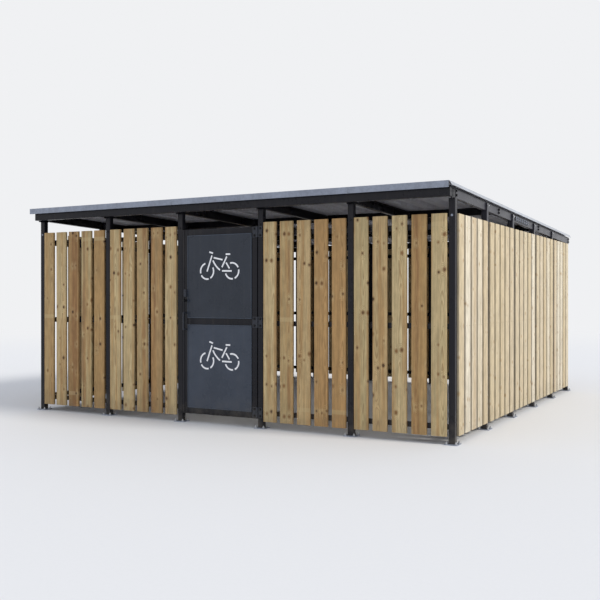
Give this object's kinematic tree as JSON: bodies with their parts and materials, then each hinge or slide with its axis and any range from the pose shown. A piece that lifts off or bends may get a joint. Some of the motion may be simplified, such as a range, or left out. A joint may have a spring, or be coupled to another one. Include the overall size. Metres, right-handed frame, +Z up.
{
  "type": "bike shelter",
  "caption": "Square lockable bike shelter: steel posts, vertical timber boards on rails, a ribbed roof that falls to the rear and a hinged sheet-metal door in the front.",
  "frame": {"origin": "on the ground, in the middle of the overall box", "axes": "+X to the right along the front, +Y to the rear, +Z up; the door is in the front, which faces -Y"},
  "size_m": [5.12, 5.33, 2.3518],
  "materials": {
    "dark_steel": "near-black anthracite powder coat, satin",
    "galvanised": "weathered zinc, blue-grey, matt",
    "timber": "planed pressure-treated pine, unpainted",
    "door_sheet": "blue-grey powder coat with white stencilled bicycle symbols",
    "black_fittings": "black, satin"
  },
  "bodies": {
    "shelter": {"front_posts": "dark_steel", "rear_posts": "dark_steel", "left_posts": "dark_steel", "right_posts": "dark_steel", "front_beam": "dark_steel", "beam_brackets": "dark_steel", "rear_beam": "dark_steel", "left_beam": "dark_steel", "right_beam": "dark_steel", "beam_splices": "dark_steel", "rafters": "dark_steel", "purlins": "dark_steel", "verge_angles": "dark_steel", "latch_jamb": "dark_steel", "post_hinge_flaps": "dark_steel", "base_plates": "galvanised", "roof_sheets": "galvanised", "front_fascia": "galvanised", "front_panel_1": "timber", "front_panel_2": "timber", "front_panel_4": "timber", "front_panel_5": "timber", "right_panel_1": "timber", "right_panel_2": "timber", "right_panel_3": "timber", "right_panel_4": "timber", "right_panel_5": "timber", "left_panel_1": "timber", "left_panel_2": "timber", "left_panel_3": "timber", "left_panel_4": "timber", "left_panel_5": "timber", "rear_panel_1": "timber", "rear_panel_2": "timber", "rear_panel_3": "timber", "rear_panel_4": "timber", "rear_panel_5": "timber"},
    "door": {"door_frame": "dark_steel", "door_panel_upper": "door_sheet", "door_panel_lower": "door_sheet", "door_hinge_flaps": "dark_steel", "pull_handle": "black_fittings", "lock_case": "black_fittings", "lock_knob": "black_fittings"}
  },
  "joints": [
    {"name": "door_hinge", "type": "hinge", "parent": "shelter", "child": "door", "pos_m": [0.466, -2.534, 1.07], "axis": [0, 0, 1], "range_deg": [0, 110]}
  ]
}
